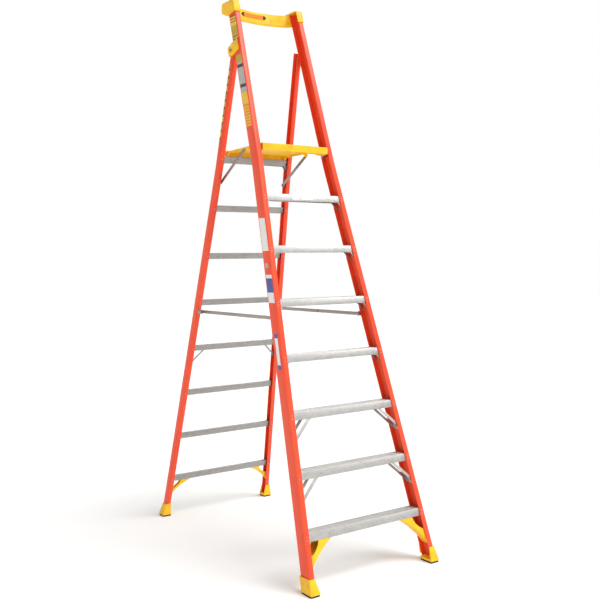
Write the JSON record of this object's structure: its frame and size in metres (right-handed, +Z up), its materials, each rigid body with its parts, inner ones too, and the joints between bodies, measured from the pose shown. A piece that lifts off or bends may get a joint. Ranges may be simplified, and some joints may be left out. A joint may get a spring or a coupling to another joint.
{
  "type": "platform step ladder",
  "caption": "Folding step ladder with fibreglass rails, flat steps, a hinged standing platform, spreaders and a guard rail.",
  "frame": {"origin": "on the floor under the middle of the open ladder's bounding box", "axes": "+X to the right of a person facing the steps, +Y from the steps to the rear frame, +Z up"},
  "size_m": [0.858, 1.7564, 3.1956],
  "materials": {
    "orange_fibreglass": "pultruded fibreglass, satin",
    "yellow_plastic": "moulded plastic, satin",
    "mill_aluminium": "extruded, mill finish",
    "zinc_steel": "zinc plated, dull",
    "black_rubber": "moulded, matte"
  },
  "bodies": {
    "front_frame": {"boot_front_left": "yellow_plastic", "boot_front_right": "yellow_plastic", "front_rail_left": "orange_fibreglass", "front_rail_right": "orange_fibreglass", "guard_rail": "yellow_plastic", "knee_brace_front_left": "yellow_plastic", "knee_brace_front_right": "yellow_plastic", "pad_front_left": "black_rubber", "pad_front_right": "black_rubber", "pivot_bolt_left": "zinc_steel", "pivot_bolt_right": "zinc_steel", "pivot_bracket_left": "yellow_plastic", "pivot_bracket_right": "yellow_plastic", "platform_hinge_left": "zinc_steel", "platform_hinge_right": "zinc_steel", "spreader_bracket_front_left": "zinc_steel", "spreader_bracket_front_right": "zinc_steel", "step_1": "mill_aluminium", "step_2": "mill_aluminium", "step_3": "mill_aluminium", "step_4": "mill_aluminium", "step_5": "mill_aluminium", "step_6": "mill_aluminium", "step_7": "mill_aluminium", "step_brace_2_left": "mill_aluminium", "step_brace_2_right": "mill_aluminium", "step_brace_3_left": "mill_aluminium", "step_brace_3_right": "mill_aluminium"},
    "rear_frame": {"boot_rear_left": "yellow_plastic", "boot_rear_right": "yellow_plastic", "knee_brace_rear_left": "yellow_plastic", "knee_brace_rear_right": "yellow_plastic", "link_pin_left": "zinc_steel", "link_pin_right": "zinc_steel", "pad_rear_left": "black_rubber", "pad_rear_right": "black_rubber", "rear_rail_left": "orange_fibreglass", "rear_rail_right": "orange_fibreglass", "rear_rung_1": "mill_aluminium", "rear_rung_2": "mill_aluminium", "rear_rung_3": "mill_aluminium", "rear_rung_4": "mill_aluminium", "rear_rung_5": "mill_aluminium", "rear_rung_6": "mill_aluminium", "rear_rung_7": "mill_aluminium", "rear_rung_8": "mill_aluminium", "rung_brace_left": "mill_aluminium", "rung_brace_right": "mill_aluminium", "spreader_bracket_rear_left": "zinc_steel", "spreader_bracket_rear_right": "zinc_steel"},
    "platform": {"platform": "yellow_plastic"},
    "link_left": {"platform_link_left": "zinc_steel"},
    "link_right": {"platform_link_right": "zinc_steel"},
    "spreader_front_left": {"spreader_front_left": "zinc_steel"},
    "spreader_front_right": {"spreader_front_right": "zinc_steel"},
    "spreader_rear_left": {"spreader_rear_left": "zinc_steel"},
    "spreader_rear_right": {"spreader_rear_right": "zinc_steel"}
  },
  "joints": [
    {"name": "rear_fold", "type": "hinge", "parent": "front_frame", "child": "rear_frame", "pos_m": [0, 0.10717, 2.89988], "axis": [-1, 0, 0], "range_deg": [0, 30.5]},
    {"name": "platform_lift", "type": "hinge", "parent": "front_frame", "child": "platform", "pos_m": [0, -0.14166, 2.31029], "axis": [1, 0, 0], "range_deg": [0, 73.31]},
    {"name": "link_left_swing", "type": "hinge", "parent": "rear_frame", "child": "link_left", "pos_m": [-0.224, 0.29978, 2.14992], "axis": [-1, 0, 0], "range_deg": [0, 31.64]},
    {"name": "link_right_swing", "type": "hinge", "parent": "rear_frame", "child": "link_right", "pos_m": [0.224, 0.29978, 2.14992], "axis": [-1, 0, 0], "range_deg": [0, 31.64]},
    {"name": "spreader_front_left_swing", "type": "hinge", "parent": "front_frame", "child": "spreader_front_left", "pos_m": [-0.284, -0.38042, 1.35213], "axis": [-1, 0, 0], "range_deg": [0, 106.56]},
    {"name": "spreader_rear_left_swing", "type": "hinge", "parent": "rear_frame", "child": "spreader_rear_left", "pos_m": [-0.28, 0.47942, 1.35802], "axis": [1, 0, 0], "range_deg": [0, 101.87]},
    {"name": "spreader_front_right_swing", "type": "hinge", "parent": "front_frame", "child": "spreader_front_right", "pos_m": [0.284, -0.38042, 1.35213], "axis": [-1, 0, 0], "range_deg": [0, 106.56]},
    {"name": "spreader_rear_right_swing", "type": "hinge", "parent": "rear_frame", "child": "spreader_rear_right", "pos_m": [0.28, 0.47942, 1.35802], "axis": [1, 0, 0], "range_deg": [0, 101.87]}
  ],
  "couplings": [
    {"joint": "platform_lift", "follows": "rear_fold", "ratio": 2.4033},
    {"joint": "link_left_swing", "follows": "rear_fold", "ratio": 1.0369},
    {"joint": "link_right_swing", "follows": "rear_fold", "ratio": 1.0369},
    {"joint": "spreader_front_left_swing", "follows": "rear_fold", "ratio": 3.4934},
    {"joint": "spreader_rear_left_swing", "follows": "rear_fold", "ratio": 3.3398},
    {"joint": "spreader_front_right_swing", "follows": "rear_fold", "ratio": 3.4934},
    {"joint": "spreader_rear_right_swing", "follows": "rear_fold", "ratio": 3.3398}
  ]
}
